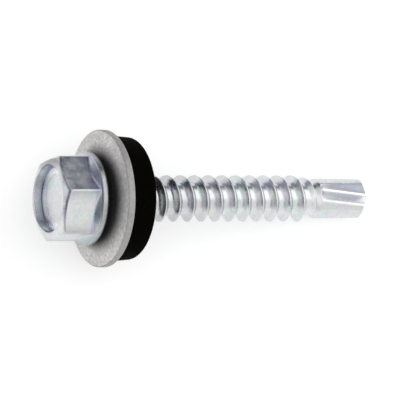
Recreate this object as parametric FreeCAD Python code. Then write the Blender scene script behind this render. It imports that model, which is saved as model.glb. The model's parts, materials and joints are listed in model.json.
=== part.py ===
"""Hex washer head self drilling screw with its bonded sealing washer, lying as it comes to rest.

Three pieces. The screw is one cold headed and rolled piece: indented hex head, round flange, plain
neck, spaced tapping thread and forged two-flute drill point. The steel disc and the rubber seal are
bonded to each other, and turn together on the neck, trapped between the flange and the thread.

Each piece is modelled on the screw's own axis, in millimetres: station 0 is the flange's bearing
face, stations grow towards the point, and angles are counted from one corner of the hexagon. At
the end everything is laid down as it comes to rest, on the disc's rim and both edges of one flute,
with the point towards +X.
"""
import FreeCAD, Part
import math
import os

Vector = FreeCAD.Vector
CENTRE = Vector(0, 0, 0)
AXIS = Vector(0, 0, 1)

# Head
across_flats = 8.00
head_height = 4.75
hex_edge_radius = 0.25
hex_spin = 0.0
crest_radius = 3.45
crest_easing = 0.10
top_chamfer_slope = 24.0
recess_floor_radius = 3.20
recess_depth = 0.95

# Flange
flange_radius = 4.80
flange_edge = 0.75
flange_slope_radius = 4.00
flange_rise = 0.63
flange_edge_easing = 0.18

# Shank
screw_length = 32.2
neck_radius = 2.05
thread_radius = 2.40
root_radius = 1.74
thread_pitch = 1.60
crest_width = 0.15
flank_angle = 60.0
crest_station = 8.74
crest_spin = -19.6
thread_lead_in = 1.6
thread_run_out = 2.4
ridge_foot = 0.10

# Drill point
point_radius = 2.03
point_length = 6.40
point_angle = 112.0
chisel_offset = 0.30
chisel_spin = 85.0
lip_spin = 24.4
flute_rounding = 0.20
flute_run_in = 0.40
flute_run_in_radius = 1.485
flute_run_in_angle = 97.0
flute_tip_radius = 0.48
flute_tip_angle = 80.0
flute_overshoot = 0.5

# Sealing washer
disc_radius = 7.00
disc_thickness = 0.75
disc_flat_radius = 3.20
disc_drop = 0.95
disc_edge_easing = 0.10
seal_radius = 6.45
seal_face_radius = 6.22
seal_thickness = 2.85
seal_edge_easing = 0.30
bore_clearance = 0.10
end_clearance = 0.05

# Rest
feet_per_edge = 20
roll_steps = 900

disc_top = end_clearance
seal_face = disc_top + disc_drop + disc_thickness + seal_thickness
thread_start = seal_face + end_clearance
thread_end = screw_length - point_length
bore_radius = neck_radius + bore_clearance


def polar(radius, angle, station):
    """Point at a radius, an angle in degrees and a station."""
    turn = math.radians(angle)
    return Vector(radius * math.cos(turn), radius * math.sin(turn), station)


def lathe(corners):
    """Solid of revolution from (radius, station) corners; a corner's third value cuts it off by that much."""
    points = [Vector(corner[0], 0, corner[1]) for corner in corners]
    outline = []
    for i, corner in enumerate(corners):
        if len(corner) == 2:
            outline.append(points[i])
            continue
        for neighbour in (points[i - 1], points[(i + 1) % len(points)]):
            side = neighbour - points[i]
            outline.append(points[i] + side * (corner[2] / side.Length))
    face = Part.Face(Part.makePolygon(outline + outline[:1]))
    return face.revolve(CENTRE, AXIS, 360)


def make_head():
    """Hexagon with eased corners and a turned-down top that is dished inside its eased crest."""
    corner_radius = across_flats / 2 / math.cos(math.pi / 6)
    corners = [polar(corner_radius, 60 * i + hex_spin, -head_height) for i in range(6)]
    outline = Part.Face(Part.makePolygon(corners + corners[:1]))
    prism = outline.extrude(AXIS * (head_height - flange_edge / 2))
    uprights = [edge for edge in prism.Edges if edge.BoundBox.ZLength > head_height / 2]
    prism = prism.makeFillet(hex_edge_radius, uprights)
    drop = (corner_radius - crest_radius) * math.tan(math.radians(top_chamfer_slope))
    floor_station = recess_depth - head_height
    turned = lathe([
        (0, floor_station),
        (recess_floor_radius, floor_station),
        (crest_radius, -head_height, crest_easing),
        (corner_radius, drop - head_height),
        (corner_radius, 0),
        (0, 0),
    ])
    return prism.common(turned)


def make_flange():
    """Round flange with an eased rim and a gently sloped top."""
    return lathe([
        (0, 0),
        (flange_radius, 0),
        (flange_radius, -flange_edge, flange_edge_easing),
        (flange_slope_radius, -flange_edge - flange_rise),
        (0, -flange_edge - flange_rise),
    ])


def make_blank():
    """Plain neck, thread root and the cylinder that the drill point is forged from."""
    neck_step = neck_radius - root_radius
    point_step = point_radius - root_radius
    return lathe([
        (0, -flange_edge),
        (neck_radius, -flange_edge),
        (neck_radius, thread_start),
        (root_radius, thread_start + neck_step),
        (root_radius, thread_end - point_step),
        (point_radius, thread_end),
        (point_radius, screw_length + chisel_offset),
        (0, screw_length + chisel_offset),
    ])


def half_width(radius):
    """Half the width of the thread ridge at a radius."""
    return crest_width / 2 + (thread_radius - radius) * math.tan(math.radians(flank_angle / 2))


def make_thread():
    """Spaced thread ridge, swept along a helix and eased in and out at its two ends."""
    inner = root_radius - ridge_foot
    outer = thread_radius + ridge_foot
    first_turn = math.ceil((crest_station - thread_start) / thread_pitch) + 1
    start = crest_station - first_turn * thread_pitch
    half_turns = 2 * math.ceil((thread_end - start) / thread_pitch)

    arcs = []
    for i in range(half_turns):
        arc = Part.makeHelix(thread_pitch, thread_pitch / 2, inner).Edges[0]
        arc.rotate(CENTRE, AXIS, 180 * i)
        arc.translate(AXIS * i * thread_pitch / 2)
        arcs.append(arc)
    corners = [
        Vector(inner, 0, -half_width(inner)),
        Vector(outer, 0, -half_width(outer)),
        Vector(outer, 0, half_width(outer)),
        Vector(inner, 0, half_width(inner)),
    ]
    sweep = Part.BRepOffsetAPI.MakePipeShell(Part.Wire(arcs))
    sweep.setFrenetMode(True)
    sweep.add(Part.makePolygon(corners + corners[:1]))
    sweep.build()
    sweep.makeSolid()
    ridge = sweep.shape()
    ridge.rotate(CENTRE, AXIS, crest_spin)
    ridge.translate(AXIS * start)

    envelope = lathe([
        (0, thread_start),
        (root_radius, thread_start),
        (thread_radius, thread_start + thread_lead_in),
        (thread_radius, thread_end - thread_run_out),
        (root_radius, thread_end),
        (0, thread_end),
    ])
    return ridge.common(envelope)


def flute_section(station, root_radius, angle):
    """Outline of a flute across the axis: a round-rooted V, whose one wall is the radial cutting face."""
    root = polar(root_radius, lip_spin, station)
    lip = polar(1, lip_spin, 0)
    heel = polar(1, lip_spin + angle, 0)
    middle = polar(1, lip_spin + angle / 2, 0)
    half = math.radians(angle / 2)
    reach = 2 * point_radius
    touch = flute_rounding / math.tan(half)
    depth = flute_rounding / math.sin(half) - flute_rounding
    lip_start = root + lip * touch
    heel_start = root + heel * touch
    lip_end = root + lip * reach
    heel_end = root + heel * reach
    return Part.Wire([
        Part.makeLine(lip_end, lip_start),
        Part.Arc(lip_start, root + middle * depth, heel_start).toShape(),
        Part.makeLine(heel_start, heel_end),
        Part.makeLine(heel_end, lip_end),
    ])


def make_flute():
    """One flute that runs in from the blank's skin, then deepens and narrows to the tip."""
    deep = thread_end + flute_run_in
    run_in_slope = (point_radius - flute_run_in_radius) / flute_run_in
    radius_slope = (flute_tip_radius - flute_run_in_radius) / (screw_length - deep)
    angle_slope = (flute_tip_angle - flute_run_in_angle) / (screw_length - deep)
    before = flute_overshoot * flute_run_in
    sections = [
        flute_section(thread_end - before, point_radius + before * run_in_slope, flute_run_in_angle),
        flute_section(deep, flute_run_in_radius, flute_run_in_angle),
        flute_section(
            screw_length + flute_overshoot,
            flute_tip_radius + flute_overshoot * radius_slope,
            flute_tip_angle + flute_overshoot * angle_slope,
        ),
    ]
    return Part.makeLoft(sections, True, True)


def make_point_cones():
    """Space under the two ground tip cones, whose apexes stand apart to leave a chisel edge."""
    half = math.radians(point_angle / 2)
    apex_station = screw_length + chisel_offset / math.tan(half)
    length = 2 * screw_length
    radius = length * math.tan(half)
    base_station = apex_station - length
    cones = [
        Part.makeCone(radius, 0, length, polar(chisel_offset, chisel_spin + side, base_station))
        for side in (0, 180)
    ]
    return cones[0].common(cones[1])


def make_screw():
    """Head, flange, neck, thread and drill point as one solid."""
    flute = make_flute()
    other_flute = flute.copy()
    other_flute.rotate(CENTRE, AXIS, 180)
    blank = make_blank().common(make_point_cones())
    blank = blank.cut(flute).cut(other_flute)
    screw = make_flange().fuse(make_head()).fuse(blank).fuse(make_thread())
    return screw.removeSplitter()


def make_disc():
    """Dished steel disc with a flat centre, its lower rim edge eased."""
    return lathe([
        (bore_radius, disc_top),
        (disc_flat_radius, disc_top),
        (disc_radius, disc_top + disc_drop),
        (disc_radius, disc_top + disc_drop + disc_thickness, disc_edge_easing),
        (disc_flat_radius, disc_top + disc_thickness),
        (bore_radius, disc_top + disc_thickness),
    ])


def make_seal():
    """Rubber seal bonded under the disc, slightly drafted, with an eased outer edge."""
    under = disc_top + disc_thickness
    slope = disc_drop / (disc_radius - disc_flat_radius)
    return lathe([
        (bore_radius, under),
        (disc_flat_radius, under),
        (seal_radius, under + (seal_radius - disc_flat_radius) * slope),
        (seal_face_radius, seal_face, seal_edge_easing),
        (bore_radius, seal_face),
    ])


def resting_place(screw):
    """Side that lies down and slope of the axis, in degrees, on the disc's rim and a flute's two edges.

    Rolled either way from there, the point has to climb, so of all sides this one slopes the most.
    """
    rim_station = disc_top + disc_drop + disc_thickness - disc_edge_easing
    feet = []
    for edge in screw.Edges:
        if edge.BoundBox.ZMin > screw_length - point_length / 2:
            feet.extend(edge.discretize(feet_per_edge))

    def slope(side):
        down = polar(1, side, 0)
        return min(math.atan2(disc_radius - foot.dot(down), foot.z - rim_station) for foot in feet)

    sides = [180 + 180 * i / roll_steps for i in range(roll_steps)]
    lowest = max(sides, key=slope)
    return lowest, math.degrees(slope(lowest))


pieces = {
    "screw": make_screw(),
    "steel_disc": make_disc(),
    "rubber_seal": make_seal(),
}

down_side, tilt = resting_place(pieces["screw"])
for shape in pieces.values():
    shape.rotate(CENTRE, AXIS, -down_side)
    shape.rotate(CENTRE, Vector(0, 1, 0), 90 + tilt)

box = Part.makeCompound(list(pieces.values())).optimalBoundingBox(False)
offset = Vector(-(box.XMin + box.XMax) / 2, 0, -box.ZMin)

os.makedirs("parts", exist_ok=True)
for node, shape in pieces.items():
    shape.translate(offset)
    shape.exportStep("parts/" + node + ".step")
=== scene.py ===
"""Looks of a self drilling screw and its bonded sealing washer, in the part's own frame.

Each piece is made in millimetres on the screw's own axis, as in the part: Z runs towards the
point, station 0 is the flange's bearing face, and sides are angles from one corner of the
hexagon. It is then laid where the part lies, in metres.
"""
import cmath
import json
import math

import bpy
from mathutils import Matrix, Vector


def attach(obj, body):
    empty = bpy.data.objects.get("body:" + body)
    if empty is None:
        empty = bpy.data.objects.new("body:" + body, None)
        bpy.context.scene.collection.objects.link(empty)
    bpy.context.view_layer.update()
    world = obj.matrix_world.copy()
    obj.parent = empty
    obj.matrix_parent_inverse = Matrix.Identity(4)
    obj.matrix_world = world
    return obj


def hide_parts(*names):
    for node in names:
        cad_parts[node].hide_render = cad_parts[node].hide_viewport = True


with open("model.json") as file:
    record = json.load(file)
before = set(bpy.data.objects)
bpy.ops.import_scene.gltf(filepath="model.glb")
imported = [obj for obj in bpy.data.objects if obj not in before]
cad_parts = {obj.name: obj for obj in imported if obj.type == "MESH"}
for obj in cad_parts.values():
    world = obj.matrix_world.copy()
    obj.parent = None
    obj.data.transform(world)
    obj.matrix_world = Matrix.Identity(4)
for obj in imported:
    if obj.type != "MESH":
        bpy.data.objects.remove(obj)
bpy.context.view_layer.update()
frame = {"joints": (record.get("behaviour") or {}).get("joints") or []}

MM = 0.001

# Head
ACROSS_FLATS = 8.00
HEAD_TOP = -4.75
CREST_RADIUS = 3.45
CREST_ROUNDING = 0.12
CHAMFER_SLOPE = math.radians(24)
CORNER_SOFTNESS = 0.13
SCALLOP_SOFTNESS = 0.50
FOOT_SOFTNESS = 0.16
RECESS_FLOOR = HEAD_TOP + 0.95
RECESS_RADIUS = 3.36
RECESS_ROUNDING = 0.14

# Flange
FLANGE_RADIUS = 4.80
FLANGE_EDGE = -0.75
FLANGE_FOOT_RADIUS = 4.00
FLANGE_FOOT = -1.38
FLANGE_SLOPE_RADIUS = 4.60
FLANGE_SLOPE_TOP = -0.87
FLANGE_SLOPE_ROUNDING = 0.25
FLANGE_UPPER_ROUNDING = 0.14
FLANGE_LOWER_ROUNDING = 0.36

# Blank of the head, and the rows of points on which its flats are pressed
BLANK_RADIUS = 5.5
TURNED_CHAMFER = 0.25
SCALLOP_ROW = 0.035
SCALLOP_ROWS = 29
FLAT_ROW = 0.11
FOOT_ROW = 0.04
FOOT_REACH = 0.45
LAST_ROW_GAP = 0.03
PRESS_MARGIN = 0.05
TOP_RUN = 0.25
RIM_RUN = 0.15
HEAD_STEPS = 240

# Shank
NECK_START = -0.4
NECK_RADIUS = 2.05
ROOT_RADIUS = 1.74
THREAD_START = 4.70
THREAD_END = 25.8
NECK_ROUNDING = 0.3
POINT_STEP = 0.45
POINT_ROUNDING = 0.4
POINT_LEAD = 1
SHANK_RUN = 0.6

# Thread
THREAD_RADIUS = 2.40
THREAD_PITCH = 1.60
CREST_STATION = 8.74
CREST_SIDE = math.radians(-19.6)
LEAD_IN = 1.6
RUN_OUT = 1.5
FADE_DEPTH = 0.1
THREAD_STEPS = 72
RIDGE_INNER = ROOT_RADIUS - 0.08
RIDGE_PROFILE = [  # radius and half the width there
    (RIDGE_INNER, 0.66),
    (ROOT_RADIUS + 0.01, 0.56),
    (ROOT_RADIUS + 0.06, 0.47),
    (ROOT_RADIUS + 0.14, 0.395),
    (ROOT_RADIUS + 0.30, 0.285),
    (ROOT_RADIUS + 0.46, 0.185),
    (THREAD_RADIUS - 0.12, 0.125),
    (THREAD_RADIUS - 0.055, 0.09),
    (THREAD_RADIUS - 0.015, 0.05),
    (THREAD_RADIUS, 0),
]

# Drill point
SCREW_LENGTH = 32.18
POINT_START = THREAD_END
POINT_RADIUS = 2.03
POINT_ANGLE = math.radians(112)
POINT_OVERSHOOT = 0.6
POINT_RUN = 0.1
CHISEL_OFFSET = 0.30
CHISEL_SIDE = math.radians(85)
CONE_LENGTH = 40
CONE_STEPS = 128
LIP_SIDE = math.radians(24.4)
LIP_SOFTNESS = 0.06
HEEL_SOFTNESS = 0.42
FLUTE_ROUNDING = 0.36
FLUTE_RUN_IN = 0.40
FLUTE_RUN_IN_RADIUS = 1.485
FLUTE_RUN_IN_ANGLE = math.radians(97)
FLUTE_TIP_RADIUS = 0.48
FLUTE_TIP_ANGLE = math.radians(80)
LAND_LEAD = 0.1
LIP_STEPS = 3
WALL_STEPS = 6
ROOT_STEPS = 7
HEEL_STEPS = 4
HALF_COLUMNS = 84

# Washer
DISC_TOP = 0.05
DISC_RADIUS = 6.995
DISC_THICKNESS = 0.75
DISC_FLAT_RADIUS = 3.20
DISC_DROP = 0.95
DISC_EDGE_ROUNDING = 0.12
DISC_BORE_ROUNDING = 0.05
UPPER_BEND_ROUNDING = 1.5
LOWER_BEND_ROUNDING = 1.0
SEAL_RADIUS = 6.45
SEAL_FACE_RADIUS = 6.22
SEAL_FACE = 4.60
SEAL_EDGE_ROUNDING = 0.45
SEAL_BORE_ROUNDING = 0.15
BORE_RADIUS = 2.15
SEAM_RADIUS = BORE_RADIUS + 0.3
WASHER_RUN = 0.3
WASHER_STEPS = 192

# Meshes
ROUNDING_STEP = math.radians(12)
FEWEST_STEPS = 3
MERGE_DISTANCE = 0.0005
AXIS_RADIUS = 0.001
ROW_DIGITS = 4
SMOOTH_ANGLE = math.radians(35)

# The screw's uppermost side and the one that faces the camera
UP_SIDE = math.radians(56.6)
VIEW_SIDE = math.radians(70.4)

# Zinc: its tints and grain, the colours of its marks and of its duller point, and the colours of
# painted shade, painted highlights and painted reflections
ZINC_TINTS = [
    (0.30, (0.64, 0.73, 0.76)),
    (0.45, (0.74, 0.77, 0.75)),
    (0.58, (0.76, 0.74, 0.78)),
    (0.72, (0.66, 0.69, 0.81)),
]
ZINC_GRAIN = [(0.25, (0.88, 0.88, 0.88)), (0.75, (1, 1, 1))]
DULL_MARK = (0.58, 0.60, 0.63)
RIM_PAINTED_SHADE = (0.30, 0.30, 0.31)
RECESS_PAINTED_HIGHLIGHT = (0.88, 0.90, 0.94)
RECESS_PAINTED_SHADE = (0.25, 0.29, 0.36)
CHAMFER_PAINTED_SHADE = (0.26, 0.25, 0.28)
BLUE_PAINTED_REFLECTION = (0.32, 0.34, 0.46)
GREEN_PAINTED_REFLECTION = (0.36, 0.46, 0.48)
POINT_ZINC = (0.42, 0.415, 0.42)
FLUTE_PAINTED_LIGHT = (0.93, 0.925, 0.93)
CUTTING_FACE_PAINTED_SHADE = (0.33, 0.36, 0.43)
SEAL_PAINTED_SHADE = (0.22, 0.22, 0.24)

# Where they lie: spans of the radius, of the distance towards a side and of the station
RIM_SPAN = (4.05, FLANGE_RADIUS)
RECESS_SPAN = (RECESS_FLOOR + 0.3, RECESS_FLOOR + 0.5)
LIP_RING = (2.6, 3.06, 0.14)
CORNER_RING = (3.24, 3.34, 0.10)
CHAMFER_SHADE_SIDE_SPAN = (2.6, 3.9)
CHAMFER_SHADE_SPAN = (HEAD_TOP + 0.25, HEAD_TOP + 0.55)
BLUE_REFLECTION_SIDE_SPAN = (3.6, 3.9)
BLUE_PAINTED_REFLECTIONS = [  # side, share, and start, end and edge from the flats' foot
    (math.radians(30), 0.6, 0, 0.1, 0.9),
    (math.radians(90), 0.5, 0.02, 0.38, 0.12),
]
GREEN_REFLECTION_SIDE_SPAN = (3.4, 4.2)
GREEN_REFLECTION_SPAN = (FLANGE_FOOT - 0.2, FLANGE_FOOT + 0.2)
POINT_SPAN = (POINT_START - 0.5, POINT_START + 0.5)
FLUTE_DEPTH_SPAN = (1.8, 2.0)
FLUTE_SPAN = (POINT_START + 0.3, POINT_START + 0.8)
CUTTING_RING = (-0.06, 0.06, 0.05)
CUTTING_SIDE_SPAN = (0.3, 0.8)
CUTTING_SPAN = (POINT_START, POINT_START + 1.5)
NEAR_SEAL_SPAN = (SEAL_FACE, 18)
BEHIND_SEAL_SPAN = (SEAL_FACE - 1, SEAL_FACE)

# Colours of the disc and the seal, and where the disc's sheared rim and its painted shade lie
STEEL_SPECKLE = [
    (0.30, (0.60, 0.575, 0.56)),
    (0.50, (0.77, 0.745, 0.73)),
    (0.70, (0.95, 0.925, 0.91)),
]
STEEL_PATCHES = [(0.3, (0.88, 0.88, 0.88)), (0.7, (1, 1, 1))]
SHEARED_RIM = (0.20, 0.195, 0.19)
STEEL_PAINTED_SHADE = (0.35, 0.34, 0.335)
UNDER_FLANGE = (0.008, 0.008, 0.008)
SHEARED_SPAN = (6.84, 6.95)
STEEL_SHADE_SPAN = (3.0, 6.5)
SHADE_SHIFT = 0.75
SHADE_SPAN = (4.15, 6.0)
RUBBER_TINTS = [(0.35, (0.0008, 0.0007, 0.0005)), (0.75, (0.0020, 0.0018, 0.0012))]

# Sockets of the Mix node for colours, whose names repeat
MIX_INPUTS = (0, 6, 7)
MIX_RESULT = 2

# Camera: at the photograph's viewing angle, in mm from the centre of the washer's rim
VIEW_LEAN = math.radians(27.56)
CAMERA_DISTANCE = 609.8
FOCAL_PX = 6000
FRAME_PX = 400
SENSOR_WIDTH = 36
CLIP_START = 0.01
RIM_STATION = 1.75
AIM_RIGHT = -9.655
AIM_UP = 0.152

# Floor and lamp, in metres and degrees
FLOOR_SIZE = 4
FLOOR_COLOUR = (0.65, 0.65, 0.65, 1)
FLOOR_GLOW = 0.50
KEY_HEADING = (15, 45)
KEY_DISTANCE = 0.42
KEY_SIZE = 0.40
KEY_POWER = 0.15

# World: a plain level, softly lighter or darker in zones, and a darker, bluer band on one side
WORLD_LEVEL = 0.84
WORLD_ZONES = [  # heading, rise, radius of the core and of the edge in degrees, and the change
    (62, 17, 4, 24, -0.12),
    (137, 14, 4, 24, -0.12),
    (-62, 18, 4, 50, 0.14),
    (15, 45, 8, 45, 0.42),
    (-138, 66, 5, 40, 0.32),
    (88, 30, 8, 26, -0.30),
    (-165, 19, 8, 30, -0.18),
]
BAND_SIDE = 140
BAND_EDGES = (-0.08, 0.10)
BAND_RISE = 0.25
BAND_FADE = (0.12, 0.36)
BAND_CHANGE = -0.52
BAND_TINT = (0.82, 0.87, 1.08, 1)
WHITE = (1, 1, 1, 1)


def polar(radius, side, station):
    return Vector((radius * math.cos(side), radius * math.sin(side), station))


def heading(turn, rise):
    """Direction from its turn about the upright and its rise over the floor, in degrees."""
    turn = math.radians(turn)
    rise = math.radians(rise)
    return Vector((
        math.cos(turn) * math.cos(rise),
        math.sin(turn) * math.cos(rise),
        math.sin(rise),
    ))


def screw_frame():
    """Turn and place, without scale, that lay the screw's own axis where the part has it."""
    hinge = frame["joints"][0]
    axis = Vector(hinge["axis"]).normalized()
    over = Vector((-axis.z, 0, axis.x))
    first = over * math.cos(UP_SIDE) + Vector((0, math.sin(UP_SIDE), 0))
    origin = Vector(hinge["pos_m"]) - axis * SEAL_FACE / 2 * MM
    turn = Matrix((first, axis.cross(first), axis)).transposed().to_4x4()
    return Matrix.Translation(origin) @ turn


own_frame = screw_frame()


def deselect():
    bpy.ops.object.select_all(action="DESELECT")


def pick(piece):
    deselect()
    piece.select_set(True)
    bpy.context.view_layer.objects.active = piece


def rounded(corners):
    """Outline with rounded corners from (radius, station, rounding) triples."""
    points = []
    for i, (x, y, rounding) in enumerate(corners):
        here = Vector((x, y))
        if rounding == 0 or i in (0, len(corners) - 1):
            points.append((x, y))
            continue
        before = (Vector(corners[i - 1][:2]) - here).normalized()
        after = (Vector(corners[i + 1][:2]) - here).normalized()
        half = before.angle(after) / 2
        tangent = rounding / math.tan(half)
        hub = here + (before + after).normalized() * rounding / math.sin(half)
        first = here + before * tangent - hub
        sweep = first.angle_signed(here + after * tangent - hub)
        steps = max(FEWEST_STEPS, math.ceil(abs(sweep) / ROUNDING_STEP))
        for k in range(steps + 1):
            turned = first.copy()
            turned.rotate(Matrix.Rotation(-sweep * k / steps, 2))
            points.append(tuple(hub + turned))
    return points


def densified(points, longest):
    """The same outline with no run longer than this."""
    dense = [points[0]]
    for a, b in zip(points, points[1:]):
        steps = max(1, math.ceil(math.dist(a, b) / longest))
        for k in range(1, steps + 1):
            dense.append((a[0] + (b[0] - a[0]) * k / steps, a[1] + (b[1] - a[1]) * k / steps))
    return dense


def drawn(name, outline):
    """An open outline drawn point by point in the plane of the axis."""
    deselect()
    bpy.ops.mesh.primitive_plane_add(size=1)
    piece = bpy.context.active_object
    piece.name = name
    bpy.ops.object.mode_set(mode="EDIT")
    bpy.ops.mesh.select_mode(type="VERT")
    bpy.ops.mesh.select_all(action="SELECT")
    bpy.ops.mesh.merge(type="CENTER")
    here = Vector((outline[0][0], 0, outline[0][1]))
    bpy.ops.transform.translate(value=here)
    for radius, station in outline[1:]:
        there = Vector((radius, 0, station))
        bpy.ops.mesh.extrude_vertices_move(TRANSFORM_OT_translate={"value": there - here})
        here = there
    bpy.ops.object.mode_set(mode="OBJECT")
    return piece


def turned(name, outline, steps):
    """Solid of revolution spun from an outline that starts on the axis or closes on itself."""
    piece = drawn(name, outline)
    bpy.ops.object.mode_set(mode="EDIT")
    bpy.ops.mesh.select_all(action="SELECT")
    bpy.ops.mesh.spin(steps=steps, angle=math.tau, center=(0, 0, 0), axis=(0, 0, 1))
    bpy.ops.mesh.select_all(action="SELECT")
    bpy.ops.mesh.remove_doubles(threshold=MERGE_DISTANCE)
    bpy.ops.mesh.normals_make_consistent(inside=False)
    bpy.ops.object.mode_set(mode="OBJECT")
    return piece


def close_ends(piece):
    """Fills the open ends of a piece and turns its faces outwards."""
    pick(piece)
    bpy.ops.object.mode_set(mode="EDIT")
    bpy.ops.mesh.select_all(action="DESELECT")
    bpy.ops.mesh.select_non_manifold()
    bpy.ops.mesh.edge_face_add()
    bpy.ops.mesh.select_all(action="SELECT")
    bpy.ops.mesh.normals_make_consistent(inside=False)
    bpy.ops.object.mode_set(mode="OBJECT")


def keep_inside(piece, tool):
    """Keeps what lies inside a tool, which is used up."""
    cut = piece.modifiers.new("cut", "BOOLEAN")
    cut.operation = "INTERSECT"
    cut.solver = "EXACT"
    cut.object = tool
    pick(piece)
    bpy.ops.object.modifier_apply(modifier="cut")
    bpy.data.objects.remove(tool)


def soft_least(a, b, softness):
    """The smaller of two radii, rounded where they are nearly equal."""
    near = max(softness - abs(a - b), 0) / softness
    return min(a, b) - near * near * softness / 4


def soft_most(a, b, softness):
    return -soft_least(-a, -b, softness)


def hexagon_radius(side):
    """Radius of the hexagon on a side, with softened corners."""
    apothem = ACROSS_FLATS / 2
    sixth = math.tau / 6
    first = (side - sixth / 2) % sixth
    near = first if first < sixth / 2 else first - sixth
    other = near - math.copysign(sixth, near)
    return soft_least(apothem / math.cos(near), apothem / math.cos(other), CORNER_SOFTNESS)


def pressed_radius(side, station):
    """Radius of the forged head on a side at a station: chamfer, flats and flange."""
    chamfer = CREST_RADIUS + (station - HEAD_TOP) / math.tan(CHAMFER_SLOPE)
    slope = (FLANGE_SLOPE_RADIUS - FLANGE_FOOT_RADIUS) / (FLANGE_SLOPE_TOP - FLANGE_FOOT)
    foot = FLANGE_FOOT_RADIUS + (station - FLANGE_FOOT) * slope
    flats = soft_least(chamfer, hexagon_radius(side), SCALLOP_SOFTNESS)
    return soft_most(flats, foot, FOOT_SOFTNESS)


def press_rows():
    """Stations of the rows on the blank, closer together at the scallops and the flats' foot."""
    rows = [HEAD_TOP + TURNED_CHAMFER + SCALLOP_ROW * i for i in range(1, SCALLOP_ROWS + 1)]
    while rows[-1] < FLANGE_FOOT - FOOT_REACH:
        rows.append(rows[-1] + FLAT_ROW)
    while rows[-1] < FLANGE_SLOPE_TOP - LAST_ROW_GAP:
        rows.append(rows[-1] + FOOT_ROW)
    return rows


def make_head():
    """Turned blank with its dished top and its flange, whose flats are then pressed in."""
    turned_radius = CREST_RADIUS + TURNED_CHAMFER / math.tan(CHAMFER_SLOPE)
    top = rounded([
        (0, RECESS_FLOOR, 0),
        (RECESS_RADIUS, RECESS_FLOOR, RECESS_ROUNDING),
        (CREST_RADIUS, HEAD_TOP, CREST_ROUNDING),
        (turned_radius, HEAD_TOP + TURNED_CHAMFER, 0),
    ])
    side_wall = [(BLANK_RADIUS, row) for row in press_rows()]
    rim = rounded([
        (FLANGE_FOOT_RADIUS, FLANGE_FOOT, 0),
        (FLANGE_SLOPE_RADIUS, FLANGE_SLOPE_TOP, FLANGE_SLOPE_ROUNDING),
        (FLANGE_RADIUS, FLANGE_EDGE, FLANGE_UPPER_ROUNDING),
        (FLANGE_RADIUS, 0, FLANGE_LOWER_ROUNDING),
        (NECK_RADIUS, 0, 0),
    ])[1:]
    outline = densified(top, TOP_RUN) + side_wall + densified(rim, RIM_RUN) + [(0, 0)]
    head = turned("head", outline, HEAD_STEPS)
    for vertex in head.data.vertices:
        place = vertex.co
        radius = math.hypot(place.x, place.y)
        if radius > CREST_RADIUS + PRESS_MARGIN and HEAD_TOP < place.z < FLANGE_SLOPE_TOP:
            side = math.atan2(place.y, place.x)
            wanted = pressed_radius(side, place.z)
            place.x *= wanted / radius
            place.y *= wanted / radius
    return head


def make_shank():
    """Neck, root and blank of the drill point, turned in one and open at the point's end."""
    outline = rounded([
        (0, NECK_START, 0),
        (NECK_RADIUS, NECK_START, 0),
        (NECK_RADIUS, THREAD_START, NECK_ROUNDING),
        (ROOT_RADIUS, THREAD_START + (NECK_RADIUS - ROOT_RADIUS), NECK_ROUNDING),
        (ROOT_RADIUS, THREAD_END - POINT_STEP, POINT_ROUNDING),
        (POINT_RADIUS, THREAD_END, POINT_ROUNDING),
        (POINT_RADIUS, THREAD_END + POINT_LEAD, 0),
    ])
    outline = densified(outline, SHANK_RUN)[:-1]
    point = densified([outline[-1], (POINT_RADIUS, SCREW_LENGTH + POINT_OVERSHOOT)], POINT_RUN)
    return turned("shank", outline + point[1:], 2 * HALF_COLUMNS)


def make_thread():
    """Rolled ridge with a round crest and a flared foot, faded in and out at its two ends."""
    outline = [(radius, -half) for radius, half in RIDGE_PROFILE]
    outline += [(radius, half) for radius, half in reversed(RIDGE_PROFILE[:-1])]
    outline.append(outline[0])
    turns_before = math.ceil((CREST_STATION - THREAD_START) / THREAD_PITCH)
    start = CREST_STATION - turns_before * THREAD_PITCH
    ridge = drawn("thread", outline)
    bpy.ops.object.mode_set(mode="EDIT")
    bpy.ops.mesh.select_all(action="SELECT")
    bpy.ops.mesh.remove_doubles(threshold=MERGE_DISTANCE)
    bpy.ops.transform.translate(value=(0, 0, start))
    bpy.ops.object.mode_set(mode="OBJECT")
    sweep = ridge.modifiers.new("screw", "SCREW")
    sweep.axis = "Z"
    sweep.angle = math.tau
    sweep.iterations = math.ceil((THREAD_END - start) / THREAD_PITCH)
    sweep.screw_offset = THREAD_PITCH
    sweep.steps = sweep.render_steps = THREAD_STEPS
    sweep.use_merge_vertices = False
    bpy.ops.object.modifier_apply(modifier="screw")
    close_ends(ridge)
    buried = RIDGE_INNER - FADE_DEPTH
    for vertex in ridge.data.vertices:
        place = vertex.co
        radius = math.hypot(place.x, place.y)
        fade_in = min(max((place.z - THREAD_START) / LEAD_IN, 0), 1)
        fade_out = min(max((THREAD_END - place.z) / RUN_OUT, 0), 1)
        wanted = buried + (radius - buried) * min(fade_in, fade_out)
        place.x *= wanted / radius
        place.y *= wanted / radius
    ridge.data.transform(Matrix.Rotation(CREST_SIDE, 4, "Z"))
    return ridge


def bend(before, corner, after, rounding, steps):
    """Points round a corner, all as complex numbers across the axis."""
    towards = (before - corner) / abs(before - corner)
    away = (after - corner) / abs(after - corner)
    half = abs(cmath.phase(away / towards)) / 2
    hub = corner + (towards + away) / abs(towards + away) * rounding / math.sin(half)
    start = corner + towards * rounding / math.tan(half) - hub
    end = corner + away * rounding / math.tan(half) - hub
    sweep = cmath.phase(end / start)
    return [hub + start * cmath.exp(1j * sweep * i / steps) for i in range(steps + 1)]


def between(start, end, steps):
    return [start + (end - start) * i / steps for i in range(1, steps)]


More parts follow.
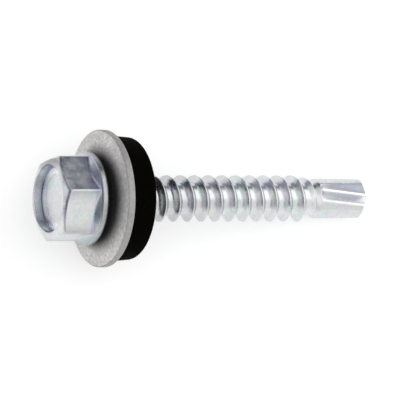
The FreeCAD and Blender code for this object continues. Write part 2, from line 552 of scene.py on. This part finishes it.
def half_section(station):
    """Half the outline across the axis at a station, and how many of its points are the flute's.

    The flute is a round-rooted V, whose one wall is the radial cutting face. A land follows it.
    """
    deep = POINT_START + FLUTE_RUN_IN
    share = (max(station, deep) - deep) / (SCREW_LENGTH - deep)
    root_radius = FLUTE_RUN_IN_RADIUS + (FLUTE_TIP_RADIUS - FLUTE_RUN_IN_RADIUS) * share
    angle = FLUTE_RUN_IN_ANGLE + (FLUTE_TIP_ANGLE - FLUTE_RUN_IN_ANGLE) * share
    reach = math.sqrt(POINT_RADIUS ** 2 - (root_radius * math.sin(angle)) ** 2)
    root = complex(root_radius)
    lip = complex(POINT_RADIUS)
    heel = root + cmath.rect(reach - root_radius * math.cos(angle), angle)
    lip_land = lip * cmath.exp(-1j * LAND_LEAD)
    heel_land = heel * cmath.exp(1j * LAND_LEAD)
    flute = bend(lip_land, lip, root, LIP_SOFTNESS, LIP_STEPS)
    root_bend = bend(lip, root, heel, FLUTE_ROUNDING, ROOT_STEPS)
    heel_bend = bend(root, heel, heel_land, HEEL_SOFTNESS, HEEL_STEPS)
    flute += between(flute[-1], root_bend[0], WALL_STEPS) + root_bend
    flute += between(flute[-1], heel_bend[0], WALL_STEPS) + heel_bend
    start = cmath.phase(flute[-1])
    end = math.pi + cmath.phase(flute[0])
    runs = HALF_COLUMNS - len(flute) + 1
    land = [cmath.rect(POINT_RADIUS, start + (end - start) * i / runs) for i in range(1, runs)]
    turn = cmath.exp(1j * LIP_SIDE)
    return [point * turn for point in flute + land], len(flute)


def spread_columns():
    """Sides of the columns on the plain shank, so that they run straight into the flutes."""
    section, in_flute = half_section(POINT_START)
    lengths = [0]
    for before, after in zip(section, section[1:in_flute]):
        lengths.append(lengths[-1] + abs(after - before))
    first = cmath.phase(section[0])
    last = cmath.phase(section[in_flute - 1])
    sides = [first + (last - first) * length / lengths[-1] for length in lengths]
    return sides + [cmath.phase(point) % math.tau for point in section[in_flute:]]


def press_flutes(shank):
    """Moves the columns of the turned blank onto the fluted section of the drill point."""
    sides = spread_columns()
    sections = {}
    for vertex in shank.data.vertices:
        place = vertex.co
        radius = math.hypot(place.x, place.y)
        if radius < AXIS_RADIUS:
            continue
        column = round(math.atan2(place.y, place.x) / math.tau * 2 * HALF_COLUMNS)
        other_half, column = divmod(column % (2 * HALF_COLUMNS), HALF_COLUMNS)
        spot = cmath.rect(radius, sides[column])
        share = min(max((place.z - POINT_START) / FLUTE_RUN_IN, 0), 1)
        if share > 0:
            row = round(place.z, ROW_DIGITS)
            if row not in sections:
                sections[row] = half_section(place.z)[0]
            spot += (sections[row][column] - spot) * share * share * (3 - 2 * share)
        if other_half:
            spot = -spot
        place.x = spot.real
        place.y = spot.imag


def make_point(shank):
    """Presses both flutes and grinds the two tip cones, whose apexes stand apart."""
    press_flutes(shank)
    close_ends(shank)
    slope = math.tan(POINT_ANGLE / 2)
    apex = SCREW_LENGTH + CHISEL_OFFSET / slope
    for side in (CHISEL_SIDE, CHISEL_SIDE + math.pi):
        deselect()
        bpy.ops.mesh.primitive_cone_add(
            vertices=CONE_STEPS,
            radius1=CONE_LENGTH * slope,
            radius2=0,
            depth=CONE_LENGTH,
            location=polar(CHISEL_OFFSET, side, apex - CONE_LENGTH / 2),
        )
        keep_inside(shank, bpy.context.active_object)
    return shank


def make_screw():
    """Head, shank and thread in one piece, which reach into one another."""
    head = make_head()
    shank = make_point(make_shank())
    thread = make_thread()
    pick(head)
    shank.select_set(True)
    thread.select_set(True)
    bpy.ops.object.join()
    return head


def make_disc():
    """Dished steel disc with rounded rim edges."""
    outline = rounded([
        (SEAM_RADIUS, DISC_TOP, 0),
        (DISC_FLAT_RADIUS, DISC_TOP, UPPER_BEND_ROUNDING),
        (DISC_RADIUS, DISC_TOP + DISC_DROP, DISC_EDGE_ROUNDING),
        (DISC_RADIUS, DISC_TOP + DISC_DROP + DISC_THICKNESS, DISC_EDGE_ROUNDING),
        (DISC_FLAT_RADIUS, DISC_TOP + DISC_THICKNESS, LOWER_BEND_ROUNDING),
        (BORE_RADIUS, DISC_TOP + DISC_THICKNESS, DISC_BORE_ROUNDING),
        (BORE_RADIUS, DISC_TOP, DISC_BORE_ROUNDING),
        (SEAM_RADIUS, DISC_TOP, 0),
    ])
    return turned("disc", densified(outline, WASHER_RUN), WASHER_STEPS)


def make_seal():
    """Rubber seal bonded under the disc, slightly drafted, with a rounded outer edge."""
    under = DISC_TOP + DISC_THICKNESS
    slope = DISC_DROP / (DISC_RADIUS - DISC_FLAT_RADIUS)
    outline = rounded([
        (SEAM_RADIUS, under, 0),
        (DISC_FLAT_RADIUS, under, LOWER_BEND_ROUNDING),
        (SEAL_RADIUS, under + (SEAL_RADIUS - DISC_FLAT_RADIUS) * slope, 0),
        (SEAL_FACE_RADIUS, SEAL_FACE, SEAL_EDGE_ROUNDING),
        (BORE_RADIUS, SEAL_FACE, SEAL_BORE_ROUNDING),
        (BORE_RADIUS, under, 0),
        (SEAM_RADIUS, under, 0),
    ])
    return turned("seal", densified(outline, WASHER_RUN), WASHER_STEPS)


class Wiring:
    """A node tree under construction."""

    def __init__(self, tree):
        self.tree = tree

    def add(self, kind, **settings):
        node = self.tree.nodes.new(kind)
        for key, value in settings.items():
            setattr(node, key, value)
        return node

    def put(self, value, socket):
        """Links an output to a socket, or sets the socket to a value."""
        if isinstance(value, bpy.types.NodeSocket):
            self.tree.links.new(value, socket)
        else:
            socket.default_value = value

    def calculate(self, operation, first, second):
        node = self.add("ShaderNodeMath", operation=operation)
        self.put(first, node.inputs[0])
        self.put(second, node.inputs[1])
        return node.outputs[0]

    def product(self, first, *others):
        for other in others:
            first = self.calculate("MULTIPLY", first, other)
        return first

    def along(self, place, direction):
        """How far a place lies along a direction."""
        node = self.add("ShaderNodeVectorMath", operation="DOT_PRODUCT")
        self.put(place, node.inputs[0])
        self.put(direction, node.inputs[1])
        return node.outputs["Value"]

    def part_of(self, place, letter):
        node = self.add("ShaderNodeSeparateXYZ")
        self.put(place, node.inputs[0])
        return node.outputs[letter]

    def spread(self, source, low, high, start=0.3, end=0.7, soft=False):
        """From low to high while the source goes from the start to the end."""
        kind = "SMOOTHSTEP" if soft else "LINEAR"
        node = self.add("ShaderNodeMapRange", interpolation_type=kind)
        self.put(source, node.inputs["Value"])
        self.put(start, node.inputs["From Min"])
        self.put(end, node.inputs["From Max"])
        self.put(low, node.inputs["To Min"])
        self.put(high, node.inputs["To Max"])
        return node.outputs["Result"]

    def rise(self, source, start, end, share=1, soft=False):
        return self.spread(source, 0, share, start, end, soft)

    def fall(self, source, start, end, share=1, soft=False):
        return self.spread(source, share, 0, start, end, soft)

    def mix(self, share, first, second, blend="MIX"):
        node = self.add("ShaderNodeMix", data_type="RGBA", blend_type=blend)
        for number, value in zip(MIX_INPUTS, (share, first, second)):
            self.put(value, node.inputs[number])
        return node.outputs[MIX_RESULT]


class Finish(Wiring):
    """A material under construction: its colour, and textures and places in mm of the object."""

    def __init__(self, name):
        self.material = bpy.data.materials.new(name)
        self.material.use_nodes = True
        super().__init__(self.material.node_tree)
        self.shader = self.tree.nodes["Principled BSDF"]
        mapping = self.add("ShaderNodeMapping")
        mapping.inputs["Scale"].default_value = (1 / MM, 1 / MM, 1 / MM)
        self.put(self.add("ShaderNodeTexCoord").outputs["Object"], mapping.inputs["Vector"])
        self.in_mm = mapping.outputs["Vector"]
        self.colour = None

    def noise(self, per_mm, detail=3, distortion=0):
        node = self.add("ShaderNodeTexNoise")
        self.put(self.in_mm, node.inputs["Vector"])
        self.put(per_mm, node.inputs["Scale"])
        self.put(detail, node.inputs["Detail"])
        self.put(distortion, node.inputs["Distortion"])
        return node.outputs["Fac"]

    def ramp(self, source, stops):
        node = self.add("ShaderNodeValToRGB")
        points = node.color_ramp.elements
        while len(points) < len(stops):
            points.new(1)
        for point, (position, colour) in zip(points, stops):
            point.position = position
            point.color = (*colour, 1)
        self.put(source, node.inputs["Fac"])
        return node.outputs["Color"]

    def own_place(self, shift=0, side=0):
        """Place in mm on the screw's own axis, or on a line beside it."""
        back = self.add("ShaderNodeMapping", vector_type="TEXTURE")
        back.inputs["Location"].default_value = own_frame @ polar(shift * MM, side, 0) / MM
        back.inputs["Rotation"].default_value = own_frame.to_euler()
        self.put(self.in_mm, back.inputs["Vector"])
        return back.outputs["Vector"]

    def station(self):
        return self.part_of(self.own_place(), "Z")

    def towards(self, side):
        """Distance in mm from the axis towards one side."""
        return self.along(self.own_place(), polar(1, side, 0))

    def off_axis(self, shift=0, side=0):
        """Distance in mm from the axis, or from a line beside it."""
        across = self.add("ShaderNodeVectorMath", operation="MULTIPLY")
        across.inputs[1].default_value = (1, 1, 0)
        self.put(self.own_place(shift, side), across.inputs[0])
        length = self.add("ShaderNodeVectorMath", operation="LENGTH")
        self.put(across.outputs["Vector"], length.inputs[0])
        return length.outputs["Value"]

    def ring(self, radius, inner, outer, edge):
        """1 between two radii, fading to 0 over the edge."""
        return self.product(
            self.rise(radius, inner - edge, inner, soft=True),
            self.fall(radius, outer, outer + edge, soft=True),
        )

    def tint(self, share, colour):
        """Mixes a colour into the finish."""
        self.colour = self.mix(share, self.colour, (*colour, 1))

    def bumps(self, *layers):
        """Stacks (height, depth in mm) layers of relief."""
        normal = None
        for height, depth in layers:
            node = self.add("ShaderNodeBump")
            self.put(depth * MM, node.inputs["Distance"])
            self.put(height, node.inputs["Height"])
            if normal:
                self.put(normal, node.inputs["Normal"])
            normal = node.outputs["Normal"]
        self.put(normal, self.shader.inputs["Normal"])

    def done(self, metallic, roughness, specular):
        self.put(self.colour, self.shader.inputs["Base Color"])
        self.put(metallic, self.shader.inputs["Metallic"])
        self.put(roughness, self.shader.inputs["Roughness"])
        self.put(specular, self.shader.inputs["Specular IOR Level"])
        return self.material


def paint_head_shade_and_reflections(finish, radius, station):
    """Painted shade, highlights and reflections on the head: darker rim and corners, a light and a
    dark ring in the recess, a darker chamfer side, and blue and green reflections at the flats'
    foot.
    """
    # Painted shade: darker towards the flange rim and the hexagon's corners, standing in for their
    # dimmer highlights and dark reflections.
    finish.tint(finish.rise(radius, *RIM_SPAN, share=0.66, soft=True), RIM_PAINTED_SHADE)
    in_recess = finish.fall(station, *RECESS_SPAN)
    # Painted highlight: a light bluish ring on the recess floor beside its wall.
    finish.tint(finish.product(in_recess, finish.ring(radius, *LIP_RING)), RECESS_PAINTED_HIGHLIGHT)
    # Painted shade: a dark ring in the corner at the foot of the recess wall.
    finish.tint(finish.product(in_recess, finish.ring(radius, *CORNER_RING)), RECESS_PAINTED_SHADE)
    # Painted shade: one side of the chamfer darker, standing in for a dark reflection.
    right = finish.towards(VIEW_SIDE - math.pi / 2)
    chamfer_shade = finish.product(
        finish.rise(right, *CHAMFER_SHADE_SIDE_SPAN, share=0.9, soft=True),
        finish.fall(station, *CHAMFER_SHADE_SPAN, soft=True),
    )
    finish.tint(chamfer_shade, CHAMFER_PAINTED_SHADE)
    # Painted reflections: dark blue patches on the flats and the flange slope near the flats'
    # foot.
    for side, share, start, end, edge in BLUE_PAINTED_REFLECTIONS:
        blue = finish.product(
            finish.rise(finish.towards(side), *BLUE_REFLECTION_SIDE_SPAN, share=share, soft=True),
            finish.ring(station, FLANGE_FOOT + start, FLANGE_FOOT + end, edge),
        )
        finish.tint(blue, BLUE_PAINTED_REFLECTION)
    # Painted reflection: a darker teal tone on one side, from the flats' foot onto the flange.
    left = finish.towards(VIEW_SIDE + math.pi / 2)
    green = finish.product(
        finish.rise(left, *GREEN_REFLECTION_SIDE_SPAN, share=0.6, soft=True),
        finish.rise(station, *GREEN_REFLECTION_SPAN, soft=True),
    )
    finish.tint(green, GREEN_PAINTED_REFLECTION)


def tint_point(finish, radius, station):
    """Slightly duller drill point, with painted light in the flutes and painted shade on the
    cutting faces.
    """
    finish.tint(finish.rise(station, *POINT_SPAN, share=0.16), POINT_ZINC)
    # Painted light: the flutes lighter, standing in for bright reflections.
    in_flute = finish.product(
        finish.fall(radius, *FLUTE_DEPTH_SPAN, share=0.75), finish.rise(station, *FLUTE_SPAN),
    )
    finish.tint(in_flute, FLUTE_PAINTED_LIGHT)
    # Painted shade: the cutting faces darker and bluer, standing in for a dark reflection.
    for side in (LIP_SIDE, LIP_SIDE + math.pi):
        cutting_face = finish.product(
            finish.ring(finish.towards(side + math.pi / 2), *CUTTING_RING),
            finish.rise(finish.towards(side), *CUTTING_SIDE_SPAN, share=0.8),
            finish.rise(station, *CUTTING_SPAN),
        )
        finish.tint(cutting_face, CUTTING_FACE_PAINTED_SHADE)


def zinc_plating():
    """Bright clear passivated zinc: faint blue, green and lilac tints, soft sheen, small marks,
    and painted shade, highlights and reflections.
    """
    finish = Finish("bright_zinc_plating")
    tints = finish.ramp(finish.noise(0.55, detail=2, distortion=0.6), ZINC_TINTS)
    grain = finish.ramp(finish.noise(2.6, detail=4), ZINC_GRAIN)
    finish.colour = finish.mix(1, tints, grain, "MULTIPLY")
    marks = finish.rise(finish.noise(1.7, detail=5, distortion=0.8), 0.58, 0.72, share=0.45)
    finish.tint(marks, DULL_MARK)
    radius = finish.off_axis()
    station = finish.station()
    paint_head_shade_and_reflections(finish, radius, station)
    tint_point(finish, radius, station)
    # Painted shade: the neck and the first turns of thread darker near the seal, fading towards
    # the point.
    seal_shade = finish.product(
        finish.fall(station, *NEAR_SEAL_SPAN, share=0.28),
        finish.rise(station, *BEHIND_SEAL_SPAN),
    )
    finish.tint(seal_shade, SEAL_PAINTED_SHADE)
    roughness = finish.spread(finish.noise(1.1, detail=4), 0.20, 0.36)
    finish.bumps((finish.noise(0.9, detail=2), 0.030), (finish.noise(3.5, detail=3), 0.006))
    return finish.done(metallic=1, roughness=roughness, specular=0.5)


def galvanised_steel():
    """Matte hot dip galvanised sheet, finely speckled, with a sheared rim and painted shade on the
    side towards the camera.

    The shade that the flange throws on the disc in the photo is in it too.
    """
    finish = Finish("matte_galvanised_steel")
    speckle = finish.ramp(finish.noise(3.2, detail=4), STEEL_SPECKLE)
    patches = finish.ramp(finish.noise(0.7, detail=3, distortion=0.5), STEEL_PATCHES)
    finish.colour = finish.mix(1, speckle, patches, "MULTIPLY")
    finish.tint(finish.rise(finish.off_axis(), *SHEARED_SPAN, share=0.65), SHEARED_RIM)
    # Painted shade: the disc darker on its side towards the camera.
    near = finish.towards(VIEW_SIDE)
    finish.tint(finish.rise(near, *STEEL_SHADE_SPAN, share=0.35, soft=True), STEEL_PAINTED_SHADE)
    off_shade = finish.off_axis(SHADE_SHIFT, VIEW_SIDE)
    finish.tint(finish.fall(off_shade, *SHADE_SPAN, share=0.965, soft=True), UNDER_FLANGE)
    roughness = finish.spread(finish.noise(3, detail=4), 0.45, 0.65)
    finish.bumps((finish.noise(1.2, detail=2), 0.010), (finish.noise(9, detail=3), 0.004))
    return finish.done(metallic=0.55, roughness=roughness, specular=0.3)


def epdm_rubber():
    """Near black moulded rubber with a fine dull texture and a trace of dust."""
    finish = Finish("black_epdm_rubber")
    finish.colour = finish.ramp(finish.noise(4, detail=5), RUBBER_TINTS)
    roughness = finish.spread(finish.noise(2.5, detail=4), 0.70, 0.85)
    finish.bumps((finish.noise(1.0, detail=3), 0.012), (finish.noise(12, detail=2), 0.003))
    return finish.done(metallic=0, roughness=roughness, specular=0.015)


def finish_piece(piece, name, body, node, material):
    """Lays a piece where the part lies and says what it is."""
    piece.name = name
    piece.data.transform(own_frame @ Matrix.Diagonal((MM, MM, MM, 1)))
    piece.data.materials.clear()
    piece.data.materials.append(material)
    pick(piece)
    bpy.ops.object.shade_smooth_by_angle(angle=SMOOTH_ANGLE)
    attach(piece, body)
    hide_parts(node)


def placed(name, data):
    """A new object in the scene, ready to be turned."""
    thing = bpy.data.objects.new(name, data)
    bpy.context.scene.collection.objects.link(thing)
    thing.rotation_mode = "QUATERNION"
    return thing


def make_camera():
    """Camera at the photograph's angle and distance, with colours shown as they are."""
    turn = own_frame.to_3x3()
    axis = turn @ Vector((0, 0, 1))
    facing = turn @ polar(1, VIEW_SIDE, 0)
    back = facing * math.cos(VIEW_LEAN) - axis * math.sin(VIEW_LEAN)
    right = axis * math.cos(VIEW_LEAN) + facing * math.sin(VIEW_LEAN)
    up = back.cross(right)
    rim_centre = own_frame @ Vector((0, 0, RIM_STATION * MM))
    offset = back * CAMERA_DISTANCE - right * AIM_RIGHT - up * AIM_UP
    data = bpy.data.cameras.new("camera")
    data.sensor_width = SENSOR_WIDTH
    data.lens = SENSOR_WIDTH * FOCAL_PX / FRAME_PX
    data.clip_start = CLIP_START
    camera = placed("camera", data)
    camera.location = rim_centre + offset * MM
    camera.rotation_quaternion = Matrix((right, up, back)).transposed().to_quaternion()
    bpy.context.scene.camera = camera
    bpy.context.scene.view_settings.view_transform = "Standard"


def make_floor():
    """Pale floor that keeps the shadow, and glows to white where it is seen or mirrored."""
    deselect()
    bpy.ops.mesh.primitive_plane_add(size=FLOOR_SIZE, location=(0, 0, 0))
    floor = bpy.context.active_object
    floor.name = "floor"
    material = bpy.data.materials.new("white_floor")
    material.use_nodes = True
    wiring = Wiring(material.node_tree)
    wiring.tree.nodes.clear()
    path = wiring.add("ShaderNodeLightPath").outputs
    seen = wiring.calculate("MAXIMUM", path["Is Camera Ray"], path["Is Glossy Ray"])
    seen = wiring.calculate("MAXIMUM", seen, path["Is Transmission Ray"])
    glow = wiring.add("ShaderNodeEmission")
    wiring.put(wiring.product(seen, FLOOR_GLOW), glow.inputs["Strength"])
    diffuse = wiring.add("ShaderNodeBsdfDiffuse")
    wiring.put(FLOOR_COLOUR, diffuse.inputs["Color"])
    both = wiring.add("ShaderNodeAddShader")
    wiring.put(diffuse.outputs[0], both.inputs[0])
    wiring.put(glow.outputs[0], both.inputs[1])
    out = wiring.add("ShaderNodeOutputMaterial")
    wiring.put(both.outputs[0], out.inputs["Surface"])
    floor.data.materials.append(material)


def make_world():
    """Even studio light with softly lighter and darker sides."""
    world = bpy.data.worlds.new("studio")
    world.use_nodes = True
    bpy.context.scene.world = world
    wiring = Wiring(world.node_tree)
    direction = wiring.add("ShaderNodeTexCoord").outputs["Generated"]
    level = WORLD_LEVEL
    for side, rise, core, edge, change in WORLD_ZONES:
        nearness = wiring.along(direction, heading(side, rise))
        outer = math.cos(math.radians(edge))
        inner = math.cos(math.radians(core))
        zone = wiring.rise(nearness, outer, inner, share=change, soft=True)
        level = wiring.calculate("ADD", level, zone)
    off_band = wiring.calculate("SUBTRACT", wiring.part_of(direction, "Z"), BAND_RISE)
    off_band = wiring.calculate("ABSOLUTE", off_band, 0)
    band = wiring.product(
        wiring.rise(wiring.along(direction, heading(BAND_SIDE, 0)), *BAND_EDGES, soft=True),
        wiring.fall(off_band, *BAND_FADE, soft=True),
    )
    level = wiring.calculate("ADD", level, wiring.product(band, BAND_CHANGE))
    background = wiring.tree.nodes["Background"]
    wiring.put(level, background.inputs["Strength"])
    wiring.put(wiring.mix(band, WHITE, BAND_TINT), background.inputs["Color"])


def make_key():
    """Soft lamp over the point's side."""
    data = bpy.data.lights.new("key", "AREA")
    data.size = KEY_SIZE
    data.energy = KEY_POWER
    key = placed("key", data)
    direction = heading(*KEY_HEADING)
    key.location = direction * KEY_DISTANCE
    key.rotation_quaternion = direction.to_track_quat("Z", "Y")


screw = make_screw()
disc = make_disc()
seal = make_seal()
finish_piece(screw, "zinc_screw", "screw", "screw", zinc_plating())
steel = galvanised_steel()
finish_piece(disc, "galvanised_disc", "sealing_washer", "steel_disc", steel)
finish_piece(seal, "epdm_seal", "sealing_washer", "rubber_seal", epdm_rubber())
make_camera()
make_floor()
make_world()
make_key()
